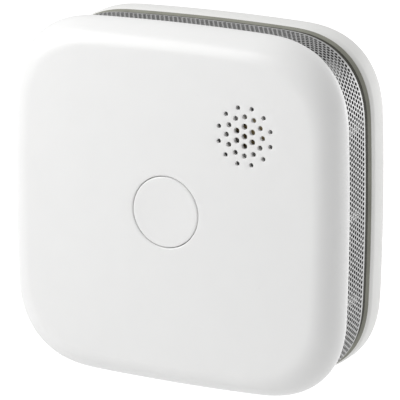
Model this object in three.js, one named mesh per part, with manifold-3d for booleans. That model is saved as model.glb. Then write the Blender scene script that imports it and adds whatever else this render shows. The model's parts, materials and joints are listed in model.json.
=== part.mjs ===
// Wall-mounted carbon monoxide alarm, built as the assembly it comes apart into.
// Millimetres. The wall is the plane y = 0, the front of the alarm looks along -y and +z is up.
// "Half" is the distance from the middle to the side of a ring that follows the alarm's outline.

import * as THREE from 'three';
import { mergeVertices } from 'three/addons/utils/BufferGeometryUtils.js';
import Module from 'manifold-3d';

const wasm = await Module();
wasm.setup();

// ---------------------------------------------------------------- overall sizes

const WIDTH = 100; // across the cover's widest rim, the same both ways
const DEPTH = 35.3; // from the wall to the middle of the face
const CORNER_RADIUS = 24.6;
const CORNER_POWER = 2.56; // 2 would be a round corner; more is squarer
const SIDE_BOW = 0.033; // how far a side falls back towards its ends, as a share of the half width

// ---------------------------------------------------------------- fits

const GAP = 0.3; // between two pieces that rest on each other
const SLIDE_GAP = 0.25; // round the test button

// ---------------------------------------------------------------- front cover

const COVER_WALL = 1.2;
const CROWN_RISE = 1; // how far the face domes up from its rim to its middle
const EDGE_WIDTH = 7.1; // the rounded edge, measured across the face
const EDGE_DEPTH = 7.6; // the rounded edge, measured back from the face
const SKIRT_DEPTH = 1.5; // straight wall behind the widest rim
const SKIRT_DRAFT = 0.2; // the skirt's rear edge stands this far inside the rim
const BOSS_RADIUS = 3.4;
const SLEEVE_WALL = 1.4;
const SLEEVE_LENGTH = 6;

// ---------------------------------------------------------------- sounder holes and sounder

const HOLE_RADIUS = 0.8;
const HOLE_RING_PITCH = 2.64;
const OUTER_RING_PITCH = 2.95; // the outer ring, in ring pitches
const MIDDLE_HOLE_SHARE = 0.87;
const OUTER_HOLE_SHARE = 0.77;
const SOUNDER_RADIUS = 13.5;
const SOUNDER_CLEARANCE = 1.5; // between the sounder and the screw tower in its corner
const SOUNDER_WALL = 1.2;
const SOUNDER_BASE_HEIGHT = 3.6;
const SOUNDER_CAP_LIP = 0.5; // least room between the cap's face and the base
const SOUNDER_MOUTH_RADIUS = 4.5;
const SOUNDER_VENT_RADIUS = 2;
const PIEZO_THICKNESS = 0.3;
const PIEZO_SEAT = 1;
const CERAMIC_RADIUS = 7.5;
const CERAMIC_GAP = 0.1;
const GASKET_WIDTH = 2;
const GASKET_HEIGHT = 1;

// ---------------------------------------------------------------- test button, light guide, switch

const BUTTON_RADIUS = 9.75;
const BUTTON_THICKNESS = 1.9;
const BUTTON_DISH = 0.25; // how far the middle of the button is dished in
const BUTTON_TRAVEL = 0.5;
const BUTTON_SKIRT_INSET = 1.15;
const BUTTON_SKIRT_WALL = 1.2;
const BUTTON_SKIRT_LENGTH = 4;
const BUTTON_STEM_RADIUS = 2;
const LUG_COUNT = 3;
const LUG_REACH = 0.8;
const LUG_THICKNESS = 1;
const LUG_ANGLE = 26;
const GUIDE_WALL = 1.4;
const SWITCH_WIDTH = 6;
const SWITCH_HEIGHT = 3.6;
const PLUNGER_RADIUS = 1.7;
const PLUNGER_LENGTH = 3.4;
const PLUNGER_RISE = 1.2; // how far it stands out of the switch
const LED_WIDTH = 1.6;
const LED_HEIGHT = 0.8;
const LED_COUNT = 4;

// ---------------------------------------------------------------- screen, seal and rear housing

const SCREEN_THICKNESS = 0.5;
const SCREEN_TUCK = 3; // how far the screen runs up inside the skirt
const SEAL_HEIGHT = 2.4;
const SEAL_WIDTH = 0.8;
const SEAL_INSET = 0.45; // the seal stands this far inside the screen
const BASE_INSET = 1.2; // the housing's side stands this far inside the rim
const BASE_HEIGHT = 9.4;
const BASE_WALL = 2.2;
const BASE_BEVEL_WIDTH = 1;
const BASE_BEVEL_DEPTH = 2;
const BACK_ROUND_WIDTH = 1.4;
const BACK_ROUND_DEPTH = 2.2;
const WALL_CLEARANCE = 0.5; // the housing hangs this far off the wall
const POST_WIDTH = 2.2;
const POST_DEPTH = 3.2;
const POST_PITCH = 23.5;
const TOWER_RADIUS = 3.9;
const TOWER_INSET = 0.8;
const COUNTERBORE_DEPTH = 14;
const RECESS_DEPTH = 3.7;
const FLOOR_THICKNESS = 2;
const CUP_WALL = 1.6;

// ---------------------------------------------------------------- mounting plate and bayonet

const PLATE_RADIUS = 34;
const PLATE_THICKNESS = 1.8;
const PLATE_RIM_WIDTH = 2.5;
const PLATE_RIM_HEIGHT = 2.8;
const BAYONET_COUNT = 4;
const BAYONET_REACH = 2.3; // how far a lug stands out of the plate
const BAYONET_LUG_THICKNESS = 1;
const BAYONET_LUG_ANGLE = 16;
const BAYONET_LEDGE_ANGLE = 16;
const BAYONET_STOP_ANGLE = 3;
const BAYONET_STOP_CLEARANCE = 1; // degrees between a lug and its stop
const BAYONET_SIDE_GAP = 0.5;
const SLOT_WIDTH = 4;
const SLOT_LENGTH = 12;
const SLOT_OFFSET = 20; // from the plate's middle to the middle of each screw slot

// ---------------------------------------------------------------- cells, lid and contacts

const CELL_RADIUS = 7.1;
const CELL_LENGTH = 49.2;
const CELL_NUB_RADIUS = 2.7;
const CELL_NUB_HEIGHT = 1.1;
const CELL_EDGE = 0.5;
const CELL_CLEARANCE = 0.5;
const CONTACT_THICKNESS = 0.4;
const CONTACT_WIDTH = 9;
const CONTACT_TAIL_WIDTH = 2;
const CONTACT_SPACE = 2; // between a cell's end and the wall of the bay
const LID_THICKNESS = 1.6;
const LID_GRIP_RADIUS = 4;
const LID_GRIP_DEPTH = 0.8;

// ---------------------------------------------------------------- chassis and board

const CHASSIS_WALL = 1.4;
const CHASSIS_FLOOR = 1.2;
const BAY_WALL = 1.4;
const BAY_ROOF = 1;
const NOTCH_GAP = 0.4;
const GAS_SLOT_COUNT = 5;
const GAS_SLOT_WIDTH = 2;
const GAS_SLOT_PITCH = 4.5;
const GAS_SLOT_HEIGHT = 9;
const PILLAR_RADIUS = 2.6;
const PILLAR_SPREAD = 30;
const PILLAR_DROP = 24;
const BOARD_THICKNESS = 1.6;
const BOARD_GAP = 0.4;

// ---------------------------------------------------------------- screws

const SCREW_RADIUS = 1.2;
const SCREW_HEAD_RADIUS = 2.5;
const SCREW_HEAD_HEIGHT = 1.7;
const SCREW_HEAD_TOP_SHARE = 0.7; // the flat of the head, as a share of its radius
const SCREW_DRIVE_WIDTH = 0.8;
const SCREW_DRIVE_LENGTH = 3;
const SCREW_DRIVE_DEPTH = 0.8;
const BOARD_SCREW_BITE = 6;
const COVER_SCREW_BITE = 6;

// ---------------------------------------------------------------- gas sensor and small electronics

const SENSOR_RADIUS = 6.9;
const SENSOR_LENGTH = 17;
const SENSOR_CENTRE_Z = 4;
const FILTER_RADIUS = 7.1;
const SENSOR_CLEARANCE = 0.4; // round the filter, to the board and to the chassis floor
const FILTER_LENGTH = 7;
const FILTER_HOLE_RADIUS = 1.6;
const FILTER_HOLE_DEPTH = 3;
const SENSOR_PIN_WIDTH = 1;
const SIDE_SPACE = 2.4; // between the battery bay and the tall parts beside it
const CAPACITOR_RADIUS = 4;
const CAPACITOR_LENGTH = 11;
const CAPACITOR_SPACING = 9.5;
const INDUCTOR_WIDTH = 7;
const INDUCTOR_HEIGHT = 4;
const CHIP_WIDTH = 10;
const CHIP_HEIGHT = 1.2;
const RADIO_WIDTH = 15;
const RADIO_HEIGHT = 19;
const RADIO_BOARD_THICKNESS = 0.8;
const SHIELD_INSET = 1;
const SHIELD_HEIGHT = 2.2;
const ANTENNA_LENGTH = 16;
const ANTENNA_WIDTH = 4;
const ANTENNA_RISE = 4;
const ANTENNA_THICKNESS = 0.5;

// ---------------------------------------------------------------- how finely curves are cut

const CORNER_STEPS = 8;
const SIDE_STEPS = 4;
const CROWN_STEPS = 3;
const EDGE_STEPS = 5;
const DISH_STEPS = 4;
const BACK_ROUND_STEPS = 2;
const SECTOR_STEPS = 4;
const ROUND = 28; // sides of a large round
const SMALL_ROUND = 14;
const CELL_SIDES = 20;
const HOLE_SIDES = 8;
const PAST = 1; // how far a cutting shape runs past what it cuts

// ---------------------------------------------------------------- places worked out from the sizes

const rimHalf = WIDTH / 2;
const skirtHalf = rimHalf - SKIRT_DRAFT;
const rimY = -DEPTH + CROWN_RISE + EDGE_DEPTH;
const skirtY = rimY + SKIRT_DEPTH;
const screenHalf = skirtHalf - COVER_WALL - GAP;
const baseHalf = rimHalf - BASE_INSET;
const baseFrontY = -BASE_HEIGHT;
const sealHalf = screenHalf - SEAL_INSET;
const sealFrontY = baseFrontY - GAP - SEAL_HEIGHT;
const screenRearY = sealFrontY - GAP;
const screenFrontY = skirtY - SCREEN_TUCK;
const postHalf = sealHalf - SEAL_WIDTH - GAP;
const postInnerHalf = postHalf - POST_DEPTH;
const chassisHalf = postInnerHalf - NOTCH_GAP;
const backY = -WALL_CLEARANCE;
const backInnerY = backY - BASE_WALL;
const recessFloorY = backY - RECESS_DEPTH;
const housingFloorY = recessFloorY - FLOOR_THICKNESS;
const recessRadius = PLATE_RADIUS + BAYONET_REACH + BAYONET_SIDE_GAP;
const chassisBackY = housingFloorY - GAP;
const chassisFloorY = chassisBackY - CHASSIS_FLOOR;
const cellY = housingFloorY - CELL_CLEARANCE - CELL_RADIUS;
const bayRoofY = cellY - CELL_RADIUS - CELL_CLEARANCE;
const sensorDepth = 2 * (Math.max(SENSOR_RADIUS, FILTER_RADIUS) + SENSOR_CLEARANCE);
const boardBackY = Math.min(bayRoofY - BAY_ROOF - GAP, chassisFloorY - sensorDepth);
const boardFrontY = boardBackY - BOARD_THICKNESS;
const cellX = CELL_RADIUS + CELL_CLEARANCE;
const bayHalfWidth = 2 * cellX + CELL_CLEARANCE;
const bayHalfLength = (CELL_LENGTH + CELL_NUB_HEIGHT) / 2 + CONTACT_SPACE;
const tailLowZ = -bayHalfLength + GAP;
const boardHalf = chassisHalf - CHASSIS_WALL - BOARD_GAP;
const towerFrontY = skirtY;

// The rim's outline in x and z, anticlockwise as seen from the front. Every ring is a scaled copy.
function rimOutline() {
  const straight = rimHalf - CORNER_RADIUS;
  const quarter = [];
  for (let step = 0; step < CORNER_STEPS; step += 1) {
    const angle = (step / CORNER_STEPS) * (Math.PI / 2);
    quarter.push([
      straight + CORNER_RADIUS * Math.cos(angle) ** (2 / CORNER_POWER),
      straight + CORNER_RADIUS * Math.sin(angle) ** (2 / CORNER_POWER),
    ]);
  }
  for (let step = 0; step < SIDE_STEPS; step += 1) {
    quarter.push([straight * (1 - (2 * step) / SIDE_STEPS), rimHalf]);
  }
  const points = [];
  let turned = quarter;
  for (let turn = 0; turn < 4; turn += 1) {
    points.push(...turned);
    turned = turned.map(([x, z]) => [-z, x]);
  }
  return points.map(([x, z]) => [
    x * (1 - SIDE_BOW * (z / rimHalf) ** 2),
    z * (1 - SIDE_BOW * (x / rimHalf) ** 2),
  ]);
}

const outline = rimOutline();
const cornerReach = Math.max(...outline.map(([x, z]) => Math.hypot(x, z))) / rimHalf;
const towerX = (postHalf * cornerReach - TOWER_RADIUS - TOWER_INSET) / Math.SQRT2;
const cornerPostRadius = Math.max(TOWER_RADIUS, BOSS_RADIUS);
const soundX = towerX - (cornerPostRadius + SOUNDER_CLEARANCE + SOUNDER_RADIUS) / Math.SQRT2;
const towerPlaces = [[1, 1], [-1, 1], [-1, -1], [1, -1]].map(([x, z]) => [x * towerX, z * towerX]);
const pillarTopZ = bayHalfLength + BAY_WALL + PILLAR_RADIUS + GAP;
const pillarPlaces = [[0, pillarTopZ], [-PILLAR_SPREAD, -PILLAR_DROP], [PILLAR_SPREAD, -PILLAR_DROP]];

// ---------------------------------------------------------------- shapes

// A geometry with shared vertices, no flat triangles and its faces pointing out.
function weld(geometry) {
  const bare = geometry.clone();
  bare.deleteAttribute('normal');
  bare.deleteAttribute('uv');
  const merged = mergeVertices(bare);
  const index = Array.from(merged.index.array);
  const corner = (number) => new THREE.Vector3().fromBufferAttribute(merged.attributes.position, number);
  let triangles = [];
  let volume = 0;
  for (let start = 0; start < index.length; start += 3) {
    const [a, b, c] = index.slice(start, start + 3);
    if (a !== b && b !== c && c !== a) {
      triangles.push([a, b, c]);
      volume += corner(a).dot(corner(b).cross(corner(c)));
    }
  }
  if (volume < 0) {
    triangles = triangles.map(([a, b, c]) => [a, c, b]);
  }
  merged.setIndex(triangles.flat());
  return merged;
}

function solid(geometry) {
  const welded = weld(geometry);
  return new wasm.Manifold(new wasm.Mesh({
    numProp: 3,
    vertProperties: new Float32Array(welded.attributes.position.array),
    triVerts: new Uint32Array(welded.index.array),
  }));
}

function fromSolid(body) {
  const mesh = body.getMesh();
  const geometry = new THREE.BufferGeometry();
  geometry.setAttribute('position', new THREE.BufferAttribute(new Float32Array(mesh.vertProperties), 3));
  geometry.setIndex(Array.from(mesh.triVerts));
  return geometry;
}

function join(bodies) {
  return bodies.reduce((whole, body) => whole.add(body));
}

function cut(body, tools) {
  return tools.reduce((rest, tool) => rest.subtract(tool), body);
}

// A surface through rings that follow the outline. The profile is a list of [half, y] pairs.
// It either starts and ends in the middle (half 0) or is a loop that closes on itself.
function follow(profile) {
  const closedLoop = profile[0][0] > 0;
  const positions = [];
  const rings = profile.map(([half, y]) => {
    const first = positions.length / 3;
    const points = half > 0 ? outline : [[0, 0]];
    points.forEach(([x, z]) => positions.push((x * half) / rimHalf, y, (z * half) / rimHalf));
    return { first, count: points.length };
  });
  const index = [];
  const pairs = closedLoop ? rings.length : rings.length - 1;
  for (let pair = 0; pair < pairs; pair += 1) {
    const ring = rings[pair];
    const next = rings[(pair + 1) % rings.length];
    for (let step = 0; step < outline.length; step += 1) {
      const here = ring.first + (step % ring.count);
      const onward = ring.first + ((step + 1) % ring.count);
      const across = next.first + (step % next.count);
      const beyond = next.first + ((step + 1) % next.count);
      if (ring.count > 1) {
        index.push(here, onward, across);
      }
      if (next.count > 1) {
        index.push(onward, beyond, across);
      }
    }
  }
  const geometry = new THREE.BufferGeometry();
  geometry.setAttribute('position', new THREE.BufferAttribute(new Float32Array(positions), 3));
  geometry.setIndex(index);
  return geometry;
}

function slab(half, rearY, frontY) {
  return follow([[0, rearY], [half, rearY], [half, frontY], [0, frontY]]);
}

function band(outerHalf, innerHalf, rearY, frontY) {
  return follow([[outerHalf, rearY], [outerHalf, frontY], [innerHalf, frontY], [innerHalf, rearY]]);
}

function block(lowX, highX, rearY, frontY, lowZ, highZ) {
  const geometry = new THREE.BoxGeometry(highX - lowX, rearY - frontY, highZ - lowZ);
  return geometry.translate((lowX + highX) / 2, (rearY + frontY) / 2, (lowZ + highZ) / 2);
}

function cylinder(radius, rearY, frontY, [x, z] = [0, 0], sides = SMALL_ROUND) {
  const geometry = new THREE.CylinderGeometry(radius, radius, rearY - frontY, sides);
  return geometry.translate(x, (rearY + frontY) / 2, z);
}

// A shape turned about the y axis. The profile is a list of [radius, y] pairs.
function turned(profile, [x, z] = [0, 0], sides = ROUND) {
  const closedLoop = profile[0][0] > 0;
  const pairs = closedLoop ? [...profile, profile[0]] : profile;
  const points = pairs.map(([radius, y]) => new THREE.Vector2(radius, y));
  return new THREE.LatheGeometry(points, sides).translate(x, 0, z);
}

function tube(outerRadius, innerRadius, rearY, frontY, place, sides) {
  const profile = [[outerRadius, rearY], [outerRadius, frontY], [innerRadius, frontY], [innerRadius, rearY]];
  return turned(profile, place, sides);
}

// A piece of a flat ring about the y axis, centred on an angle from +x towards +z, in degrees.
function sector(outerRadius, innerRadius, rearY, frontY, middle, width) {
  const half = THREE.MathUtils.degToRad(width / 2);
  const shape = new THREE.Shape();
  shape.absarc(0, 0, outerRadius, -half, half, false);
  shape.absarc(0, 0, innerRadius, half, -half, true);
  const geometry = new THREE.ExtrudeGeometry(shape, {
    depth: rearY - frontY,
    bevelEnabled: false,
    curveSegments: SECTOR_STEPS,
  });
  geometry.rotateX(Math.PI / 2);
  geometry.translate(0, rearY, 0);
  return geometry.rotateY(-THREE.MathUtils.degToRad(middle));
}

// ---------------------------------------------------------------- the group and its finishes

const alarm = new THREE.Group();
alarm.name = 'carbon_monoxide_alarm';

const FINISHES = {
  whiteGloss: { color: 0xf4f4f3, roughness: 0.25, metalness: 0 },
  whiteSatin: { color: 0xededea, roughness: 0.45, metalness: 0 },
  greyPlastic: { color: 0xb9bab8, roughness: 0.6, metalness: 0 },
  darkPlastic: { color: 0x2b2c29, roughness: 0.7, metalness: 0 },
  seal: { color: 0x34352e, roughness: 0.9, metalness: 0 },
  steel: { color: 0x9a9b99, roughness: 0.35, metalness: 1 },
  brightSteel: { color: 0xc4c6c8, roughness: 0.25, metalness: 1 },
  brass: { color: 0xb08d45, roughness: 0.35, metalness: 1 },
  ceramic: { color: 0xd9d6cc, roughness: 0.5, metalness: 0 },
  board: { color: 0x1f5c3a, roughness: 0.5, metalness: 0 },
  clear: { color: 0xe4e8ea, roughness: 0.2, metalness: 0 },
  foam: { color: 0x3a3a3a, roughness: 1, metalness: 0 },
  chip: { color: 0x1b1b1c, roughness: 0.6, metalness: 0 },
  cellSleeve: { color: 0x2f4f8f, roughness: 0.4, metalness: 0 },
};

function add(name, body, finish) {
  const geometry = weld(body instanceof THREE.BufferGeometry ? body : fromSolid(body));
  geometry.computeVertexNormals();
  const mesh = new THREE.Mesh(geometry, new THREE.MeshStandardMaterial(FINISHES[finish]));
  mesh.name = name;
  alarm.add(mesh);
}

// ---------------------------------------------------------------- front cover

// The cover's face, or its inside when an inset is given, at a ring of the given half.
function faceY(half, inset = 0) {
  const crown = CROWN_RISE * (half / rimHalf) ** 2;
  const intoEdge = Math.max(0, (half - rimHalf + EDGE_WIDTH) / (EDGE_WIDTH - inset));
  const edge = (EDGE_DEPTH - inset) * (1 - Math.sqrt(Math.max(0, 1 - intoEdge ** 2)));
  return -DEPTH + inset + crown + edge;
}

// The cover as if it were solid, shrunk by the inset and closed off flat at the rear.
function coverEnvelope(inset, rearY) {
  const flatHalf = rimHalf - EDGE_WIDTH;
  const profile = [];
  for (let step = 0; step < CROWN_STEPS; step += 1) {
    const half = (flatHalf * step) / CROWN_STEPS;
    profile.push([half, faceY(half, inset)]);
  }
  for (let step = 0; step <= EDGE_STEPS; step += 1) {
    const half = flatHalf + (EDGE_WIDTH - inset) * Math.sin((step / EDGE_STEPS) * (Math.PI / 2));
    profile.push([half, faceY(half, inset)]);
  }
  profile.push([skirtHalf - inset, skirtY]);
  if (rearY > skirtY) {
    profile.push([skirtHalf - inset, rearY]);
  }
  profile.push([0, rearY]);
  return solid(follow(profile));
}

function soundHoles() {
  const rings = [
    { count: 1, distance: 0, share: 1, start: 0 },
    { count: 6, distance: HOLE_RING_PITCH, share: 1, start: 0 },
    { count: 12, distance: 2 * HOLE_RING_PITCH, share: MIDDLE_HOLE_SHARE, start: 0 },
    { count: 12, distance: OUTER_RING_PITCH * HOLE_RING_PITCH, share: OUTER_HOLE_SHARE, start: 0.5 },
  ];
  const holes = [];
  rings.forEach(({ count, distance, share, start }) => {
    for (let number = 0; number < count; number += 1) {
      const angle = ((number + start) / count) * 2 * Math.PI;
      const place = [soundX + distance * Math.sin(angle), soundX + distance * Math.cos(angle)];
      holes.push(solid(cylinder(HOLE_RADIUS * share, rimY, -DEPTH - PAST, place, HOLE_SIDES)));
    }
  });
  return holes;
}

const buttonHoleRadius = BUTTON_RADIUS + SLIDE_GAP;
const lugRadius = buttonHoleRadius + LUG_REACH;
const sleeveRadius = lugRadius + SLIDE_GAP;
const faceInnerY = faceY(buttonHoleRadius, COVER_WALL);

function frontCover() {
  const shell = coverEnvelope(0, skirtY).subtract(coverEnvelope(COVER_WALL, skirtY + PAST));
  const bosses = towerPlaces.map((place) => solid(cylinder(BOSS_RADIUS, towerFrontY - GAP, -DEPTH, place)));
  const radioFrontY = boardFrontY - GAP - RADIO_BOARD_THICKNESS;
  const sleeveRearY = Math.min(faceInnerY + SLEEVE_LENGTH, radioFrontY - GAP);
  const sleeve = solid(tube(sleeveRadius + SLEEVE_WALL, sleeveRadius, sleeveRearY, -DEPTH));
  const inside = join([...bosses, sleeve]).intersect(coverEnvelope(COVER_WALL / 2, skirtY));
  const pilotFrontY = towerFrontY - GAP - COVER_SCREW_BITE - PAST;
  const pilots = towerPlaces.map((place) => (
    solid(cylinder(SCREW_RADIUS + GAP, towerFrontY + PAST, pilotFrontY, place, HOLE_SIDES))
  ));
  const buttonHole = solid(cylinder(buttonHoleRadius, faceInnerY + PAST, -DEPTH - PAST, [0, 0], ROUND));
  return cut(shell.add(inside), [...pilots, buttonHole, ...soundHoles()]);
}

add('front_cover', frontCover(), 'whiteGloss');

// ---------------------------------------------------------------- test button and light guide

const buttonFrontY = faceY(BUTTON_RADIUS);
const lugFrontY = faceInnerY + GAP;
const lugRearY = lugFrontY + LUG_THICKNESS;
const switchFrontY = boardFrontY - GAP - SWITCH_HEIGHT;
const plungerFrontY = switchFrontY - PLUNGER_RISE;

function testButton() {
  const skirtOuter = BUTTON_RADIUS - BUTTON_SKIRT_INSET;
  const skirtInner = skirtOuter - BUTTON_SKIRT_WALL;
  const discRearY = Math.max(buttonFrontY + BUTTON_THICKNESS, lugRearY);
  const skirtRearY = discRearY + BUTTON_SKIRT_LENGTH;
  const stemRearY = plungerFrontY - GAP;
  const dishPoints = [];
  for (let step = DISH_STEPS; step > 0; step -= 1) {
    const share = step / DISH_STEPS;
    dishPoints.push([BUTTON_RADIUS * share, buttonFrontY + BUTTON_DISH * (1 - share ** 2)]);
  }
  const profile = [
    [0, stemRearY],
    [BUTTON_STEM_RADIUS, stemRearY],
    [BUTTON_STEM_RADIUS, discRearY],
    [skirtInner, discRearY],
    [skirtInner, skirtRearY],
    [skirtOuter, skirtRearY],
    [skirtOuter, discRearY],
    [BUTTON_RADIUS, discRearY],
    ...dishPoints,
    [0, buttonFrontY + BUTTON_DISH],
  ];
  const lugs = [];
  for (let number = 0; number < LUG_COUNT; number += 1) {
    const middle = 90 + (number / LUG_COUNT) * 360;
    const root = skirtOuter - BUTTON_SKIRT_WALL / 2;
    lugs.push(solid(sector(lugRadius, root, lugRearY, lugFrontY, middle, LUG_ANGLE)));
  }
  return join([solid(turned(profile)), ...lugs]);
}

add('test_button', testButton(), 'whiteGloss');

const guideOuter = sleeveRadius - GAP;
const guideInner = guideOuter - GUIDE_WALL;
const guideFrontY = lugRearY + BUTTON_TRAVEL + GAP;
const guideRearY = boardFrontY - GAP - LED_HEIGHT - GAP;
add('light_guide', tube(guideOuter, guideInner, guideRearY, guideFrontY), 'clear');

// ---------------------------------------------------------------- screen and seal

const screenInnerHalf = screenHalf - SCREEN_THICKNESS;
add('mesh_screen', band(screenHalf, screenInnerHalf, screenRearY, screenFrontY), 'steel');
add('sealing_ring', band(sealHalf, sealHalf - SEAL_WIDTH, baseFrontY - GAP, sealFrontY), 'seal');

// ---------------------------------------------------------------- rear housing

// The boxes that pick the posts out of a ring: three to a side, widened by the margin.
function postSlices(margin, rearY, frontY) {
  const reach = rimHalf + PAST;
  const start = rimHalf / 2;
  const slices = [];
  [-POST_PITCH, 0, POST_PITCH].forEach((middle) => {
    const low = middle - POST_WIDTH / 2 - margin;
    const high = middle + POST_WIDTH / 2 + margin;
    slices.push(solid(block(start, reach, rearY, frontY, low, high)));
    slices.push(solid(block(-reach, -start, rearY, frontY, low, high)));
    slices.push(solid(block(low, high, rearY, frontY, start, reach)));
    slices.push(solid(block(low, high, rearY, frontY, -reach, -start)));
  });
  return join(slices);
}

function bayonetLedges() {
  const ledges = [];
  const ledgeInner = PLATE_RADIUS + BAYONET_SIDE_GAP;
  const ledgeFrontY = -PLATE_RIM_HEIGHT + BAYONET_LUG_THICKNESS + GAP;
  const ledgeOuter = recessRadius + CUP_WALL / 2;
  const stopFrontY = recessFloorY - GAP;
  const stopMiddle = (BAYONET_LUG_ANGLE + BAYONET_STOP_ANGLE) / 2 + BAYONET_STOP_CLEARANCE;
  for (let number = 0; number < BAYONET_COUNT; number += 1) {
    const angle = ((number + 0.5) / BAYONET_COUNT) * 360;
    const ledge = sector(ledgeOuter, ledgeInner, backY, ledgeFrontY, angle, BAYONET_LEDGE_ANGLE);
    const stopAngle = angle + stopMiddle;
    const stop = sector(ledgeOuter, ledgeInner, backY, stopFrontY, stopAngle, BAYONET_STOP_ANGLE);
    ledges.push(solid(ledge), solid(stop));
  }
  return ledges;
}

function rearHousing() {
  const sideRearY = backY - BACK_ROUND_DEPTH;
  const backRound = [];
  for (let step = 1; step <= BACK_ROUND_STEPS; step += 1) {
    const share = step / BACK_ROUND_STEPS;
    const inwards = BACK_ROUND_WIDTH * (1 - Math.sqrt(1 - share ** 2));
    backRound.push([baseHalf - inwards, backY - BACK_ROUND_DEPTH * (1 - share)]);
  }
  const tray = solid(follow([
    [0, baseFrontY],
    [baseHalf - BASE_BEVEL_WIDTH, baseFrontY],
    [baseHalf, baseFrontY + BASE_BEVEL_DEPTH],
    [baseHalf, sideRearY],
    ...backRound,
    [0, backY],
  ]));
  const hollow = solid(slab(baseHalf - BASE_WALL, backInnerY, baseFrontY - PAST));
  const cup = solid(cylinder(recessRadius + CUP_WALL, backY, housingFloorY, [0, 0], ROUND));
  const recess = solid(cylinder(recessRadius, PAST, recessFloorY, [0, 0], ROUND));
  const postRing = solid(band(postHalf, postInnerHalf, backInnerY + GAP, towerFrontY));
  const posts = postRing.intersect(postSlices(0, 0, -DEPTH));
  const towers = towerPlaces.map((place) => (
    solid(cylinder(TOWER_RADIUS, backInnerY + GAP, towerFrontY, place))
  ));
  const counterbores = towerPlaces.map((place) => (
    solid(cylinder(SCREW_HEAD_RADIUS + GAP, PAST, backY - COUNTERBORE_DEPTH, place))
  ));
  const screwHoles = towerPlaces.map((place) => (
    solid(cylinder(SCREW_RADIUS + GAP, PAST, -DEPTH, place, HOLE_SIDES))
  ));
  const window = solid(block(-bayHalfWidth, bayHalfWidth, PAST, -DEPTH, -bayHalfLength, bayHalfLength));
  const shell = cut(cut(tray, [hollow]).add(cup), [recess, window]);
  return cut(join([shell, posts, ...towers, ...bayonetLedges()]), [...counterbores, ...screwHoles]);
}

add('rear_housing', rearHousing(), 'whiteSatin');

// ---------------------------------------------------------------- mounting plate

function mountingPlate() {
  const disc = solid(cylinder(PLATE_RADIUS, 0, -PLATE_THICKNESS, [0, 0], ROUND));
  const rim = solid(tube(PLATE_RADIUS, PLATE_RADIUS - PLATE_RIM_WIDTH, 0, -PLATE_RIM_HEIGHT));
  const lugs = [];
  const lugRearPlateY = -PLATE_RIM_HEIGHT + BAYONET_LUG_THICKNESS;
  for (let number = 0; number < BAYONET_COUNT; number += 1) {
    const angle = ((number + 0.5) / BAYONET_COUNT) * 360;
    const outer = PLATE_RADIUS + BAYONET_REACH;
    const inner = PLATE_RADIUS - PLATE_RIM_WIDTH / 2;
    lugs.push(solid(sector(outer, inner, lugRearPlateY, -PLATE_RIM_HEIGHT, angle, BAYONET_LUG_ANGLE)));
  }
  const slots = [];
  for (let turn = 0; turn < 4; turn += 1) {
    const half = (SLOT_LENGTH - SLOT_WIDTH) / 2;
    const slotRadius = SLOT_WIDTH / 2;
    const middle = block(SLOT_OFFSET - half, SLOT_OFFSET + half, PAST, -DEPTH, -slotRadius, slotRadius);
    const ends = [-half, half].map((shift) => (
      cylinder(slotRadius, PAST, -DEPTH, [SLOT_OFFSET + shift, 0])
    ));
    [middle, ...ends].forEach((shape) => slots.push(solid(shape.rotateY((turn * Math.PI) / 2))));
  }
  return cut(join([disc, rim, ...lugs]), slots);
}

add('mounting_plate', mountingPlate(), 'whiteSatin');

// ---------------------------------------------------------------- chassis and board

function chassis() {
  const notches = solid(band(rimHalf, chassisHalf, 0, -DEPTH))
    .intersect(postSlices(NOTCH_GAP, 0, -DEPTH));
  const towerCuts = towerPlaces.map((place) => solid(cylinder(TOWER_RADIUS + NOTCH_GAP, 0, -DEPTH, place)));
  const towerWalls = towerPlaces.map((place) => (
    solid(cylinder(TOWER_RADIUS + NOTCH_GAP + CHASSIS_WALL, 0, -DEPTH, place))
  ));
  const floorHalf = baseHalf - BASE_WALL - GAP;
  const floor = solid(slab(floorHalf, chassisBackY, chassisFloorY));
  const outer = solid(slab(chassisHalf, chassisBackY, boardFrontY));
  const inner = cut(solid(slab(chassisHalf - CHASSIS_WALL, 0, -DEPTH)), towerWalls);
  const wall = outer.subtract(inner);
  const bay = solid(block(
    -bayHalfWidth - BAY_WALL,
    bayHalfWidth + BAY_WALL,
    chassisBackY,
    bayRoofY - BAY_ROOF,
    -bayHalfLength - BAY_WALL,
    bayHalfLength + BAY_WALL,
  ));
  const bayHollow = solid(block(-bayHalfWidth, bayHalfWidth, 0, bayRoofY, -bayHalfLength, bayHalfLength));
  const pillars = pillarPlaces.map((place) => (
    solid(cylinder(PILLAR_RADIUS, chassisBackY, boardBackY + GAP, place))
  ));
  const pilots = pillarPlaces.map((place) => (
    solid(cylinder(SCREW_RADIUS + GAP, boardBackY + BOARD_SCREW_BITE + PAST, -DEPTH, place, HOLE_SIDES))
  ));
  const slots = [];
  const slotMiddleY = (chassisFloorY + boardBackY) / 2;
  for (let number = 0; number < GAS_SLOT_COUNT; number += 1) {
    const middle = SENSOR_CENTRE_Z + (number - (GAS_SLOT_COUNT - 1) / 2) * GAS_SLOT_PITCH;
    slots.push(solid(block(
      -rimHalf,
      -chassisHalf / 2,
      slotMiddleY + GAS_SLOT_HEIGHT / 2,
      slotMiddleY - GAS_SLOT_HEIGHT / 2,
      middle - GAS_SLOT_WIDTH / 2,
      middle + GAS_SLOT_WIDTH / 2,
    )));
  }
  const slotReach = solid(band(rimHalf, chassisHalf - 2 * CHASSIS_WALL, 0, -DEPTH));
  const gasSlots = join(slots).intersect(slotReach);
  const body = join([floor, wall, bay, ...pillars]);
  return cut(body, [bayHollow, notches, ...towerCuts, ...pilots, gasSlots, ...contactTails()]);
}

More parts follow.
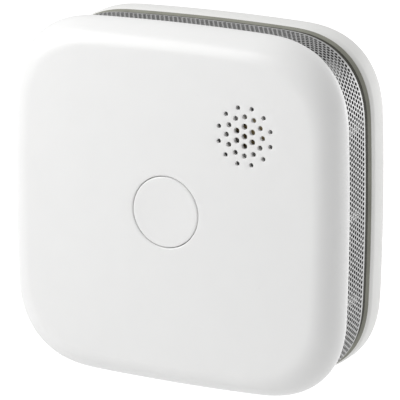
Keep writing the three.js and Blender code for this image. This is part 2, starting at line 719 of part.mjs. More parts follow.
// Slots for the two solder tails of the end contacts, through the bay's roof and the board.
function contactTails() {
  const half = CONTACT_TAIL_WIDTH / 2 + GAP;
  const highZ = tailLowZ + CONTACT_THICKNESS + GAP;
  return [-cellX, cellX].map((x) => (
    solid(block(x - half, x + half, bayRoofY + PAST, -DEPTH, tailLowZ - GAP, highZ))
  ));
}

function mainBoard() {
  const blank = solid(slab(boardHalf, boardBackY, boardFrontY));
  const towerClear = TOWER_RADIUS + NOTCH_GAP + CHASSIS_WALL + BOARD_GAP;
  const cornerCuts = towerPlaces.map((place) => solid(cylinder(towerClear, 0, -DEPTH, place)));
  const screwHoles = pillarPlaces.map((place) => (
    solid(cylinder(SCREW_RADIUS + GAP, 0, -DEPTH, place, HOLE_SIDES))
  ));
  return cut(blank, [...cornerCuts, ...screwHoles, ...contactTails()]);
}

add('chassis', chassis(), 'darkPlastic');
add('main_pcb', mainBoard(), 'board');

// ---------------------------------------------------------------- screws

// A pan head screw along y with its seat at y = 0, its shank towards -y and a cross drive.
function screw(length) {
  const body = solid(turned([
    [0, -length],
    [SCREW_RADIUS, -length],
    [SCREW_RADIUS, 0],
    [SCREW_HEAD_RADIUS, 0],
    [SCREW_HEAD_RADIUS, SCREW_HEAD_HEIGHT / 2],
    [SCREW_HEAD_RADIUS * SCREW_HEAD_TOP_SHARE, SCREW_HEAD_HEIGHT],
    [0, SCREW_HEAD_HEIGHT],
  ], [0, 0], SMALL_ROUND));
  const drives = [0, Math.PI / 2].map((angle) => solid(block(
    -SCREW_DRIVE_LENGTH / 2,
    SCREW_DRIVE_LENGTH / 2,
    SCREW_HEAD_HEIGHT + PAST,
    SCREW_HEAD_HEIGHT - SCREW_DRIVE_DEPTH,
    -SCREW_DRIVE_WIDTH / 2,
    SCREW_DRIVE_WIDTH / 2,
  ).rotateY(angle)));
  return fromSolid(cut(body, drives));
}

towerPlaces.forEach(([x, z], number) => {
  const seatY = backY - COUNTERBORE_DEPTH + GAP;
  const length = seatY - (towerFrontY - GAP - COVER_SCREW_BITE);
  add(`cover_screw_${number + 1}`, screw(length).translate(x, seatY, z), 'brightSteel');
});

pillarPlaces.forEach(([x, z], number) => {
  const length = BOARD_THICKNESS + GAP + BOARD_SCREW_BITE;
  const turnedRound = screw(length).rotateX(Math.PI);
  add(`pcb_screw_${number + 1}`, turnedRound.translate(x, boardFrontY - GAP, z), 'brightSteel');
});

// ---------------------------------------------------------------- switch and lamps

function switchBody() {
  const half = SWITCH_WIDTH / 2;
  const body = solid(block(-half, half, boardFrontY - GAP, switchFrontY, -half, half));
  const wellRearY = plungerFrontY + PLUNGER_LENGTH + BUTTON_TRAVEL + GAP;
  return body.subtract(solid(cylinder(PLUNGER_RADIUS + GAP, wellRearY, -DEPTH)));
}

add('switch_body', switchBody(), 'chip');
const plungerRearY = plungerFrontY + PLUNGER_LENGTH;
add('switch_plunger', cylinder(PLUNGER_RADIUS, plungerRearY, plungerFrontY), 'greyPlastic');

const lampRadius = (guideOuter + guideInner) / 2;
for (let number = 0; number < LED_COUNT; number += 1) {
  const half = LED_WIDTH / 2;
  const front = boardFrontY - GAP - LED_HEIGHT;
  const lamp = block(lampRadius - half, lampRadius + half, boardFrontY - GAP, front, -half, half);
  add(`status_led_${number + 1}`, lamp.rotateY(((number + 0.5) / LED_COUNT) * 2 * Math.PI), 'clear');
}

// ---------------------------------------------------------------- sounder

const soundPlace = [soundX, soundX];
const sounderRearY = boardFrontY - GAP;
const sounderBore = SOUNDER_RADIUS - SOUNDER_WALL;
const gasketOuter = SOUNDER_RADIUS - GAP;
const gasketReach = (soundX * Math.SQRT2 + gasketOuter) / cornerReach;
const gasketFrontY = faceY(gasketReach, COVER_WALL) + GAP;
const sounderFrontY = gasketFrontY + GASKET_HEIGHT + GAP;
const capInnerY = sounderFrontY + SOUNDER_WALL;
const sounderSplitY = Math.max(sounderRearY - SOUNDER_BASE_HEIGHT, capInnerY + SOUNDER_CAP_LIP);

add('sounder_base', turned([
  [SOUNDER_VENT_RADIUS, sounderRearY],
  [SOUNDER_RADIUS, sounderRearY],
  [SOUNDER_RADIUS, sounderSplitY],
  [sounderBore, sounderSplitY],
  [sounderBore, sounderSplitY + PIEZO_SEAT],
  [sounderBore - SOUNDER_WALL, sounderSplitY + PIEZO_SEAT],
  [sounderBore - SOUNDER_WALL, sounderRearY - SOUNDER_WALL],
  [SOUNDER_VENT_RADIUS, sounderRearY - SOUNDER_WALL],
], soundPlace), 'whiteSatin');

const piezoRearY = sounderSplitY + PIEZO_SEAT - CERAMIC_GAP;
const piezoFrontY = piezoRearY - PIEZO_THICKNESS;
const ceramicRearY = piezoRearY + CERAMIC_GAP + PIEZO_THICKNESS;
add('piezo_disc', cylinder(sounderBore - GAP, piezoRearY, piezoFrontY, soundPlace, ROUND), 'brass');
const ceramic = cylinder(CERAMIC_RADIUS, ceramicRearY, piezoRearY + CERAMIC_GAP, soundPlace, ROUND);
add('piezo_ceramic', ceramic, 'ceramic');

add('sounder_cap', turned([
  [SOUNDER_MOUTH_RADIUS, sounderFrontY],
  [SOUNDER_RADIUS, sounderFrontY],
  [SOUNDER_RADIUS, sounderSplitY - GAP],
  [sounderBore, sounderSplitY - GAP],
  [sounderBore, capInnerY],
  [SOUNDER_MOUTH_RADIUS, capInnerY],
], soundPlace), 'whiteSatin');

const gasketRearY = gasketFrontY + GASKET_HEIGHT;
const gasket = tube(gasketOuter, gasketOuter - GASKET_WIDTH, gasketRearY, gasketFrontY, soundPlace);
add('sounder_gasket', gasket, 'foam');

// ---------------------------------------------------------------- gas sensor

const sensorX = -(bayHalfWidth + BAY_WALL + SIDE_SPACE + SENSOR_RADIUS);
const sensorY = boardBackY + SENSOR_CLEARANCE + FILTER_RADIUS;
const sensorLowZ = SENSOR_CENTRE_Z - (SENSOR_LENGTH + FILTER_LENGTH) / 2;

// Turned about y with its rear at y = 0, then laid along z with that end at the given height.
function layAlongZ(geometry, x, y, lowZ) {
  return geometry.rotateX(Math.PI / 2).translate(x, y, lowZ);
}

add('co_sensor_can', layAlongZ(
  turned([
    [0, 0],
    [SENSOR_RADIUS, 0],
    [SENSOR_RADIUS, SENSOR_LENGTH - 2 * CELL_EDGE],
    [SENSOR_RADIUS - CELL_EDGE, SENSOR_LENGTH],
    [0, SENSOR_LENGTH],
  ]),
  sensorX,
  sensorY,
  sensorLowZ,
), 'brightSteel');

add('co_sensor_filter', layAlongZ(
  turned([
    [0, 0],
    [FILTER_RADIUS, 0],
    [FILTER_RADIUS, FILTER_LENGTH - CELL_EDGE],
    [FILTER_RADIUS - CELL_EDGE, FILTER_LENGTH],
    [FILTER_HOLE_RADIUS, FILTER_LENGTH],
    [FILTER_HOLE_RADIUS, FILTER_LENGTH - FILTER_HOLE_DEPTH],
    [0, FILTER_LENGTH - FILTER_HOLE_DEPTH],
  ]),
  sensorX,
  sensorY,
  sensorLowZ + SENSOR_LENGTH + GAP,
), 'chip');

[-1, 1].forEach((side, number) => {
  const half = SENSOR_PIN_WIDTH / 2;
  const z = sensorLowZ - GAP - half;
  const x = sensorX + (side * SENSOR_RADIUS) / 2;
  const rear = sensorY + SENSOR_PIN_WIDTH;
  const pin = block(x - half, x + half, rear, boardBackY + GAP, z - half, z + half);
  add(`co_sensor_pin_${number + 1}`, pin, 'brightSteel');
});

// ---------------------------------------------------------------- cells, contacts and lid

function cell() {
  return turned([
    [0, -CELL_LENGTH / 2],
    [CELL_RADIUS - CELL_EDGE, -CELL_LENGTH / 2],
    [CELL_RADIUS, -CELL_LENGTH / 2 + CELL_EDGE],
    [CELL_RADIUS, CELL_LENGTH / 2 - CELL_EDGE],
    [CELL_RADIUS - CELL_EDGE, CELL_LENGTH / 2],
    [CELL_NUB_RADIUS, CELL_LENGTH / 2],
    [CELL_NUB_RADIUS, CELL_LENGTH / 2 + CELL_NUB_HEIGHT],
    [0, CELL_LENGTH / 2 + CELL_NUB_HEIGHT],
  ], [0, 0], CELL_SIDES);
}

const cellShift = CELL_NUB_HEIGHT / 2;
add('battery_1', cell().rotateX(Math.PI / 2).translate(-cellX, cellY, -cellShift), 'cellSleeve');
add('battery_2', cell().rotateX(-Math.PI / 2).translate(cellX, cellY, cellShift), 'cellSleeve');

const contactHalf = CONTACT_WIDTH / 2;
const contactRearY = cellY + contactHalf;
const contactFrontY = cellY - contactHalf;
['negative', 'positive'].forEach((pole, number) => {
  const x = number === 0 ? -cellX : cellX;
  const tailHalf = CONTACT_TAIL_WIDTH / 2;
  const tailFrontY = boardFrontY - PAST;
  const highZ = tailLowZ + CONTACT_THICKNESS;
  const pad = block(x - contactHalf, x + contactHalf, contactRearY, contactFrontY, tailLowZ, highZ);
  const tail = block(x - tailHalf, x + tailHalf, cellY, tailFrontY, tailLowZ, highZ);
  add(`battery_contact_${pole}`, join([solid(pad), solid(tail)]), 'brightSteel');
});

const bridgeHighZ = bayHalfLength - GAP;
const bridgeHalf = cellX + contactHalf;
add('battery_bridge', block(
  -bridgeHalf,
  bridgeHalf,
  contactRearY,
  contactFrontY,
  bridgeHighZ - CONTACT_THICKNESS,
  bridgeHighZ,
), 'brightSteel');

function batteryLid() {
  const halfWidth = bayHalfWidth - GAP;
  const halfLength = bayHalfLength - GAP;
  const rearY = recessFloorY;
  const panel = solid(block(-halfWidth, halfWidth, rearY, rearY - LID_THICKNESS, -halfLength, halfLength));
  const grip = solid(cylinder(LID_GRIP_RADIUS, rearY + PAST, rearY - LID_GRIP_DEPTH, [0, -halfLength / 2]));
  return panel.subtract(grip);
}

add('battery_lid', batteryLid(), 'whiteSatin');

// ---------------------------------------------------------------- small electronics

const sideX = bayHalfWidth + BAY_WALL + SIDE_SPACE;
[0, 1].forEach((number) => {
  const place = [sideX + CAPACITOR_RADIUS, SENSOR_CENTRE_Z + number * CAPACITOR_SPACING];
  const rearY = boardBackY + GAP + CAPACITOR_LENGTH;
  add(`capacitor_${number + 1}`, turned([
    [0, boardBackY + GAP],
    [CAPACITOR_RADIUS, boardBackY + GAP],
    [CAPACITOR_RADIUS, rearY - CELL_EDGE],
    [CAPACITOR_RADIUS - CELL_EDGE, rearY],
    [0, rearY],
  ], place, SMALL_ROUND), 'brightSteel');
});

// A block that stands on the board, on the front when the side is -1 and on the back when it is 1.
function onBoard(side, x, z, width, height, thickness) {
  const foot = side < 0 ? boardFrontY - GAP : boardBackY + GAP;
  const top = foot + side * thickness;
  return block(x, x + width, Math.max(foot, top), Math.min(foot, top), z, z + height);
}

add('power_inductor', onBoard(
  1,
  sideX,
  SENSOR_CENTRE_Z - CAPACITOR_SPACING - INDUCTOR_WIDTH / 2,
  INDUCTOR_WIDTH,
  INDUCTOR_WIDTH,
  INDUCTOR_HEIGHT,
), 'chip');

const frontPartX = -(sleeveRadius + SLEEVE_WALL + 2 * SIDE_SPACE);
const chipX = frontPartX - CHIP_WIDTH;
add('processor_chip', onBoard(-1, chipX, -CHIP_WIDTH, CHIP_WIDTH, CHIP_WIDTH, CHIP_HEIGHT), 'chip');

const radioX = frontPartX - RADIO_WIDTH / 2;
const radioZ = SIDE_SPACE + SENSOR_CENTRE_Z;
add('radio_board', onBoard(-1, radioX, radioZ, RADIO_WIDTH, RADIO_HEIGHT, RADIO_BOARD_THICKNESS), 'board');

function radioShield() {
  const rearY = boardFrontY - GAP - RADIO_BOARD_THICKNESS - GAP;
  const lowX = radioX + SHIELD_INSET;
  const highX = radioX + RADIO_WIDTH - SHIELD_INSET;
  const lowZ = radioZ + SHIELD_INSET;
  const highZ = radioZ + RADIO_HEIGHT - SHIELD_INSET;
  return block(lowX, highX, rearY, rearY - SHIELD_HEIGHT, lowZ, highZ);
}

add('radio_shield', radioShield(), 'brightSteel');

// A bent strip that stands on two feet.
function antenna() {
  const shape = new THREE.Shape();
  const outer = ANTENNA_LENGTH / 2;
  const inner = outer - ANTENNA_THICKNESS;
  shape.moveTo(-outer, 0);
  shape.lineTo(-outer, ANTENNA_RISE);
  shape.lineTo(outer, ANTENNA_RISE);
  shape.lineTo(outer, 0);
  shape.lineTo(inner, 0);
  shape.lineTo(inner, ANTENNA_RISE - ANTENNA_THICKNESS);
  shape.lineTo(-inner, ANTENNA_RISE - ANTENNA_THICKNESS);
  shape.lineTo(-inner, 0);
  shape.closePath();
  const strip = new THREE.ExtrudeGeometry(shape, { depth: ANTENNA_WIDTH, bevelEnabled: false });
  const lowZ = -bayHalfLength - SIDE_SPACE - ANTENNA_WIDTH;
  return strip.rotateZ(Math.PI).translate(0, boardFrontY - GAP, lowZ);
}

add('antenna', antenna(), 'brass');

export default alarm;
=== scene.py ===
import bisect
import json
import math

import bmesh
import bpy
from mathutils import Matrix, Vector
from mathutils.geometry import delaunay_2d_cdt


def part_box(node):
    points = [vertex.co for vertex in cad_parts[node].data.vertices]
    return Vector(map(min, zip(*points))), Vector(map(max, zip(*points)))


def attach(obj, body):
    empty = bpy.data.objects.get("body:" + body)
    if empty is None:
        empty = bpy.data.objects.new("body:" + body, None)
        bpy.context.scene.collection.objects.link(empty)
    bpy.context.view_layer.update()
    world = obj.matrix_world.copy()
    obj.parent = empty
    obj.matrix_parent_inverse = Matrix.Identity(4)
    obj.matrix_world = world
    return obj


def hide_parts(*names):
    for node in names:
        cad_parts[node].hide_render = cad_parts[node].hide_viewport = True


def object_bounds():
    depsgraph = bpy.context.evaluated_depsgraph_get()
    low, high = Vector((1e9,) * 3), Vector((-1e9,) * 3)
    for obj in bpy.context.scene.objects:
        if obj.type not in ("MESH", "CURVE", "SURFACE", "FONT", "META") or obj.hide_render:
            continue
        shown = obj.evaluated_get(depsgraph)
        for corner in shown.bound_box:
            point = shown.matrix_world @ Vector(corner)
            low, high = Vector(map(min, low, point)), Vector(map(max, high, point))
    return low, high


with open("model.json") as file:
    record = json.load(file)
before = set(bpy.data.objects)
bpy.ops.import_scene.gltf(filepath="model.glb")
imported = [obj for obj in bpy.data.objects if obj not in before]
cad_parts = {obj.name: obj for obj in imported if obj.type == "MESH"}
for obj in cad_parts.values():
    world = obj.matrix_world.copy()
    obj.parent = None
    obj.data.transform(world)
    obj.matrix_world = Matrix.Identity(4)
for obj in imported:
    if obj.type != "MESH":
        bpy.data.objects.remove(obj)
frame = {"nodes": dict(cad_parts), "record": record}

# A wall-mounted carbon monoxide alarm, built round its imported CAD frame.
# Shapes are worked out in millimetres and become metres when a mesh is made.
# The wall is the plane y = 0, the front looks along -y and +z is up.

MM = 0.001
DETECTOR = "detector"
cad_low, cad_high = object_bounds()


def box_mm(node):
    low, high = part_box(node)
    return low / MM, high / MM


# ------------------------------------------------------------------ sizes

CORNER_RADIUS = 24.6
CORNER_POWER = 2.56
SIDE_BOW = 0.033
CORNER_STEPS = 30
SIDE_STEPS = 24
REACH_SEARCH_STEPS = 40
REACH_SEARCH_RANGE = (0.5, 1.1)
CORNER_ROUND_STEPS = 4
SECTOR_STEPS = 10
SAME_POINT = 1e-7
SHARP_ANGLE = 38.0

COVER_WALL = 1.2
CROWN_RISE = 1.0
EDGE_WIDTH = 7.1
EDGE_DEPTH = 7.6
SKIRT_DEPTH = 1.5
SKIRT_DRAFT = 0.2
SKIRT_ROUND = 0.22
SKIRT_LIP = 0.15
SKIRT_STEPS = 4
SKIRT_ROUND_STEPS = 3
EDGE_STEPS = 26
INNER_EDGE_STRIDE = 2
FACE_POINT_SPACING = 2.0
FACE_POINT_CLEARANCE = 0.7
FEWEST_FACE_POINTS = 8

BUTTON_RADIUS = 9.75
BUTTON_GAP = 0.16
BUTTON_ROUND = 0.45
BUTTON_DISH = 0.25
BUTTON_THICKNESS = 1.9
BUTTON_SKIRT_INSET = 1.15
BUTTON_SKIRT_WALL = 1.2
BUTTON_SKIRT_LENGTH = 4.0
BUTTON_STEM_RADIUS = 2.0
BUTTON_SIDES = 144
BUTTON_DISH_STEPS = 12
BUTTON_ROUND_STEPS = 6
LUG_COUNT = 3
LUG_REACH = 0.8
LUG_THICKNESS = 1.0
LUG_ANGLE = 26

HOLE_RADIUS = 0.8
HOLE_RING_PITCH = 2.64
OUTER_RING_PITCH = 2.95
MIDDLE_HOLE_SHARE = 0.87
OUTER_HOLE_SHARE = 0.77
HOLE_ROUND = 0.15
HOLE_SIDES = 24
HOLE_ROUND_STEPS = 3

SCREEN_PITCH = 1.36
SCREEN_HOLE_SHARE = 0.72
SCREEN_SHEET = 0.18
SCREEN_EDGE = 0.45
SCREEN_SHARP_ANGLE = 50.0
KEYS_PER_PITCH = 12
KEYS_PER_MM = 1000
HEXAGON = 6
SEAL_WIDTH = 0.8
SEAL_ROUND = 0.3
SEAL_SHARP_ANGLE = 60.0
# Sizes of a thin flange laid over the housing's bevel beside the seal; its grey-olive colour is
# painted shade for the shaded ledge between the seal and the white rim
SHADE_FLANGE_WIDTH = 0.45
SHADE_FLANGE_DEPTH = 0.95
SHADE_FLANGE_ROOT = 0.3
SHADE_FLANGE_THICKNESS = 0.1

PLATE_RADIUS = 34.0
PLATE_THICKNESS = 1.8
PLATE_RIM_WIDTH = 2.5
PLATE_RIM_HEIGHT = 2.8
PLATE_EDGE = 0.35
BAYONET_REACH = 2.3
BAYONET_COUNT = 4
BAYONET_LUG_THICKNESS = 1.0
BAYONET_ANGLE = 16
BAYONET_STOP_ANGLE = 3
BAYONET_STOP_CLEARANCE = 1
BAYONET_SIDE_GAP = 0.5
BAYONET_STOP_STEPS = 3
LEDGE_INSET = 0.1
SLOT_WIDTH = 4.0
SLOT_LENGTH = 12.0
SLOT_OFFSET = 20.0
SLOT_END_STEPS = 12

BASE_WALL = 2.2
BASE_BEVEL_WIDTH = 1.0
BASE_BEVEL_DEPTH = 2.0
BEVEL_EDGE_DEPTH = 0.35
BEVEL_EDGE_MIDDLE = 0.06
BEVEL_EDGE_WIDTH = 0.2
BASE_LIP = 0.12
BACK_ROUND_WIDTH = 1.4
BACK_ROUND_DEPTH = 2.2
BACK_ROUND_STEPS = 8
BACK_LIP = 0.3
HOUSING_SHARP_ANGLE = 32.0
RECESS_DEPTH = 3.7
FLOOR_THICKNESS = 2.0
CUP_WALL = 1.6
POST_WIDTH = 2.2
POST_DEPTH = 3.2
POST_PITCH = 23.5
POST_ROUND = 0.45
POST_FOOT_GAP = 0.05
TOWER_RADIUS = 3.9
COUNTERBORE_RADIUS = 2.8
COUNTERBORE_DEPTH = 14.0
SCREW_HOLE_RADIUS = 1.5
WINDOW_HALF_WIDTH = 15.7
WINDOW_HALF_LENGTH = 27.15
GAP = 0.3
ROUND_SIDES = 128
SMALL_SIDES = 40

cover_high = box_mm("front_cover")[1]
rim_half = cover_high.x
skirt_y = cover_high.y
rim_y = skirt_y - SKIRT_DEPTH
crown_y = rim_y - EDGE_DEPTH - CROWN_RISE
flat_half = rim_half - EDGE_WIDTH
skirt_half = rim_half - SKIRT_DRAFT
disc_low, disc_high = box_mm("piezo_disc")
sound_middle = ((disc_low.x + disc_high.x) / 2, (disc_low.z + disc_high.z) / 2)

# ------------------------------------------------------------------ the outline family


def quarter_turn(outline, turns=1):
    for _ in range(turns):
        outline = [(-z, x) for x, z in outline]
    return outline


def quarter_arc(steps, first=0):
    """The sine and cosine of even steps up to 90 degrees."""
    angles = [step / steps * math.pi / 2 for step in range(first, steps + 1)]
    return [(math.sin(angle), math.cos(angle)) for angle in angles]


def unit_outline():
    """The rim's outline for a half width of 1, anticlockwise as seen from the front."""
    straight = 1 - CORNER_RADIUS / rim_half
    radius = CORNER_RADIUS / rim_half
    quarter = []
    for step in range(CORNER_STEPS):
        angle = step / CORNER_STEPS * math.pi / 2
        quarter.append((
            straight + radius * math.cos(angle) ** (2 / CORNER_POWER),
            straight + radius * math.sin(angle) ** (2 / CORNER_POWER),
        ))
    for step in range(SIDE_STEPS):
        quarter.append((straight * (1 - 2 * step / SIDE_STEPS), 1.0))
    points = []
    for _ in range(4):
        points += quarter
        quarter = quarter_turn(quarter)
    return [(x * (1 - SIDE_BOW * z * z), z * (1 - SIDE_BOW * x * x)) for x, z in points]


UNIT = unit_outline()
polar = sorted((math.atan2(z, x), math.hypot(x, z)) for x, z in UNIT)
POLAR_ANGLES = [angle for angle, _ in polar]


def unit_radius(angle):
    """How far the unit outline is from its middle, in the direction of an angle."""
    number = bisect.bisect(POLAR_ANGLES, angle)
    before, radius_before = polar[number - 1]
    after, radius_after = polar[number % len(polar)]
    span = (after - before) % (2 * math.pi)
    share = ((angle - before) % (2 * math.pi)) / span
    return radius_before + (radius_after - radius_before) * share


def half_at(x, z):
    """The half width of the ring that goes through a point."""
    distance = math.hypot(x, z)
    return distance / unit_radius(math.atan2(z, x)) if distance else 0.0


def ring(half):
    return [(x * half, z * half) for x, z in UNIT]


def side_reach(half, along):
    """How far out a ring of the given half is, at a distance along its side."""
    low, high = (half * share for share in REACH_SEARCH_RANGE)
    for _ in range(REACH_SEARCH_STEPS):
        middle = (low + high) / 2
        if half_at(middle, along) < half:
            low = middle
        else:
            high = middle
    return low


def circle(radius, sides, middle=(0.0, 0.0)):
    return [
        (
            middle[0] + radius * math.cos(2 * math.pi * number / sides),
            middle[1] + radius * math.sin(2 * math.pi * number / sides),
        )
        for number in range(sides)
    ]


# ------------------------------------------------------------------ building meshes


class Shape:
    """Points in millimetres and the faces between them."""

    def __init__(self):
        self.points = []
        self.faces = []

    def loop(self, outline, y):
        first = len(self.points)
        heights = [y(x, z) for x, z in outline] if callable(y) else [y] * len(outline)
        self.points += [(x, height, z) for (x, z), height in zip(outline, heights)]
        return list(range(first, len(self.points)))

    def bridge(self, a, b):
        for number in range(len(a)):
            onward = (number + 1) % len(a)
            self.faces.append((a[number], a[onward], b[onward], b[number]))

    def run(self, loops):
        for a, b in zip(loops, loops[1:]):
            self.bridge(a, b)

    def cap(self, loop):
        self.faces.append(tuple(loop))

    def fill(self, outer, holes, layers, extra=()):
        """Triangles between an outer loop and its holes, once for each layer.

        Outer and holes are outlines with no hollow corners, and extra is more points between
        them. A layer is a height, an outer loop and hole loops, as point numbers. A triangle
        with all its corners on one hole fills that hole, so it is left out."""
        flat = []
        edges = []
        owners = []
        for owner, outline in enumerate([outer, *holes]):
            first = len(flat)
            count = len(outline)
            flat += outline
            owners += [owner] * count
            edges += [(first + number, first + (number + 1) % count) for number in range(count)]
        rim_count = len(flat)
        flat += list(extra)
        owners += [0] * len(extra)
        made = delaunay_2d_cdt([Vector(point) for point in flat], edges, [], 0, SAME_POINT)
        triangles, origins = made[2], made[3]
        kept = []
        for triangle in triangles:
            corners = [origins[corner][0] for corner in triangle]
            touched = {owners[corner] for corner in corners}
            if len(touched) > 1 or touched == {0}:
                kept.append(corners)
        for height, outer_loop, hole_loops in layers:
            numbers = list(outer_loop)
            for hole_loop in hole_loops:
                numbers += hole_loop
            numbers += self.loop(flat[rim_count:], height)
            self.faces += [tuple(numbers[corner] for corner in triangle) for triangle in kept]

    def make(self, name, body, slot, *nodes, sharp=SHARP_ANGLE, finish=None):
        """Makes the piece, parents it to the empty of its body and hides the nodes it replaces."""
        mesh = bpy.data.meshes.new(name)
        scaled = [(x * MM, y * MM, z * MM) for x, y, z in self.points]
        mesh.from_pydata(scaled, [], self.faces)
        work = bmesh.new()
        work.from_mesh(mesh)
        bmesh.ops.recalc_face_normals(work, faces=work.faces)
        work.to_mesh(mesh)
        work.free()
        mesh.shade_smooth()
        mesh.set_sharp_from_angle(angle=math.radians(sharp))
        piece = bpy.data.objects.new(name, mesh)
        bpy.context.scene.collection.objects.link(piece)
        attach(piece, body)
        if nodes:
            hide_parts(*nodes)
        piece.data.materials.append(MATERIALS[finish or slot])


def lathe(shape, profile, sides, middle=(0.0, 0.0)):
    """Turns a profile of (radius, y) about the y axis.

    It closes on itself or ends in the middle."""
    loops = []
    for radius, y in profile:
        if radius > 0:
            loops.append(shape.loop(circle(radius, sides, middle), y))
        else:
            loops.append(shape.loop([middle], y))
    pairs = list(zip(loops, loops[1:]))
    if profile[0][0] > 0:
        pairs.append((loops[-1], loops[0]))
    for a, b in pairs:
        if len(a) == 1 or len(b) == 1:
            point, edge = (a[0], b) if len(a) == 1 else (b[0], a)
            for number in range(len(edge)):
                shape.faces.append((edge[number], edge[(number + 1) % len(edge)], point))
        else:
            shape.bridge(a, b)


def follow(shape, profile):
    """A closed band through rings of (half, y)."""
    loops = [shape.loop(ring(half), y) for half, y in profile]
    shape.run([*loops, loops[0]])


def rounded(corners, radius, steps=CORNER_ROUND_STEPS):
    """A closed profile with each corner rounded."""
    done = []
    count = len(corners)
    for number in range(count):
        here = Vector(corners[number])
        before = (Vector(corners[number - 1]) - here).normalized()
        after = (Vector(corners[(number + 1) % count]) - here).normalized()
        for step in range(steps + 1):
            share = step / steps
            start = here + before * radius * (1 - share) ** 2
            done.append(tuple(start + after * radius * share ** 2))
    return done


def sector(shape, outer, inner, rear_y, front_y, middle, width, steps=SECTOR_STEPS):
    """A piece of a flat ring, centred on an angle in degrees from +x towards +z."""
    outline = []
    for radius, order in ((outer, 1), (inner, -1)):
        for step in range(steps + 1):
            angle = math.radians(middle + order * width * (step / steps - 0.5))
            outline.append((radius * math.cos(angle), radius * math.sin(angle)))
    rear = shape.loop(outline, rear_y)
    front = shape.loop(outline, front_y)
    shape.bridge(rear, front)
    for loop in (rear, front):
        for step in range(steps):
            shape.faces.append((loop[step], loop[step + 1], loop[-step - 2], loop[-step - 1]))


# ------------------------------------------------------------------ materials

TINT_DETAIL = 3
FINE_DETAIL = 2
TINTS_PER_ROUGH_PATCH = 3
TINT_RANGE = (0.3, 0.7)

FINISHES = {
    "cover_plastic": dict(colour=(0.84, 0.84, 0.835), roughness=0.3, tint=0.006),
    "housing_plastic": dict(colour=(0.8, 0.8, 0.785), roughness=0.42, tint=0.01),
    "screen_steel": dict(
        colour=(0.42, 0.42, 0.42), roughness=0.38, metallic=0.85, tint=0.08, tint_size=2.0,
    ),
    "seal_rubber": dict(colour=(0.035, 0.035, 0.024), roughness=0.75, tint=0.15, grain=0.5),
    "chassis_plastic": dict(colour=(0.012, 0.012, 0.012), roughness=0.6, tint=0.2),
    "circuit_board": dict(colour=(0.015, 0.12, 0.05), roughness=0.35, tint=0.2, tint_size=1.5),
    "clear_plastic": dict(colour=(0.9, 0.92, 0.93), roughness=0.12, Transmission_Weight=0.9),
    "black_plastic": dict(colour=(0.012, 0.012, 0.013), roughness=0.45, tint=0.15),
    "plunger_plastic": dict(colour=(0.5, 0.5, 0.49), roughness=0.5),
    "plated_steel": dict(
        colour=(0.62, 0.62, 0.63), roughness=0.25, metallic=1.0, tint=0.05, tint_size=3.0,
    ),
    "sheet_brass": dict(
        colour=(0.78, 0.62, 0.34), roughness=0.42, metallic=0.55, tint=0.1, tint_size=3.0,
    ),
    "piezo_layer": dict(colour=(0.66, 0.63, 0.55), roughness=0.5, tint=0.05),
    "gasket_foam": dict(colour=(0.03, 0.03, 0.03), roughness=0.9, grain=0.8, grain_depth=0.1),
    "cell_sleeve": dict(colour=(0.03, 0.09, 0.3), roughness=0.3, tint=0.08),
    # painted shade: a lighter grey-olive copy of the seal rubber, standing for the housing's bevel
    # ledge in shadow
    "painted_ledge_shade": dict(colour=(0.26, 0.26, 0.22), roughness=0.7, tint=0.1, grain=0.5),
}


def surface(
    name, colour, roughness, metallic=0.0, tint=0.02, tint_size=8.0,
    grain=0.15, grain_size=0.4, grain_depth=0.01, rough_range=0.05, **sockets
):
    """A procedural finish. Sizes and depths are in millimetres."""
    material = bpy.data.materials.new(name)
    material.use_nodes = True
    nodes = material.node_tree.nodes
    links = material.node_tree.links
    shader = nodes["Principled BSDF"]
    place = nodes.new("ShaderNodeTexCoord").outputs["Object"]

    def noise(size, detail):
        node = nodes.new("ShaderNodeTexNoise")
        node.inputs["Scale"].default_value = 1 / (size * MM)
        node.inputs["Detail"].default_value = detail
        links.new(place, node.inputs["Vector"])
        return node.outputs["Fac"]

    ramp = nodes.new("ShaderNodeValToRGB")
    dark, light = ramp.color_ramp.elements
    dark.position, light.position = TINT_RANGE
    dark.color = (*[c * (1 - tint) for c in colour], 1)
    light.color = (*[min(1, c * (1 + tint)) for c in colour], 1)
    links.new(noise(tint_size, TINT_DETAIL), ramp.inputs["Fac"])
    links.new(ramp.outputs["Color"], shader.inputs["Base Color"])
    spread = nodes.new("ShaderNodeMapRange")
    spread.inputs["To Min"].default_value = roughness - rough_range
    spread.inputs["To Max"].default_value = roughness + rough_range
    links.new(noise(tint_size / TINTS_PER_ROUGH_PATCH, FINE_DETAIL), spread.inputs["Value"])
    links.new(spread.outputs["Result"], shader.inputs["Roughness"])
    bump = nodes.new("ShaderNodeBump")
    bump.inputs["Strength"].default_value = grain
    bump.inputs["Distance"].default_value = grain_depth * MM
    links.new(noise(grain_size, FINE_DETAIL), bump.inputs["Height"])
    links.new(bump.outputs["Normal"], shader.inputs["Normal"])
    shader.inputs["Metallic"].default_value = metallic
    for socket, value in sockets.items():
        shader.inputs[socket.replace("_", " ")].default_value = value
    return material


MATERIALS = {name: surface(name, **finish) for name, finish in FINISHES.items()}

for entry in frame["record"]["subparts"]:
    node_mesh = frame["nodes"][entry["node"]].data
    node_mesh.materials.clear()
    node_mesh.materials.append(MATERIALS[entry["material_slot"]])

# ------------------------------------------------------------------ front cover


def face_y(half, inset=0.0):
    """The height of the cover's face on a ring, or of its inside at an inset from it."""
    crown = CROWN_RISE * (half / rim_half) ** 2
    into_edge = max(0.0, (half - flat_half) / (EDGE_WIDTH - inset))
    edge = (EDGE_DEPTH - inset) * (1 - math.sqrt(max(0.0, 1 - into_edge ** 2)))
    return crown_y + inset + crown + edge


def on_face(drop=0.0):
    return lambda x, z: face_y(half_at(x, z)) + drop


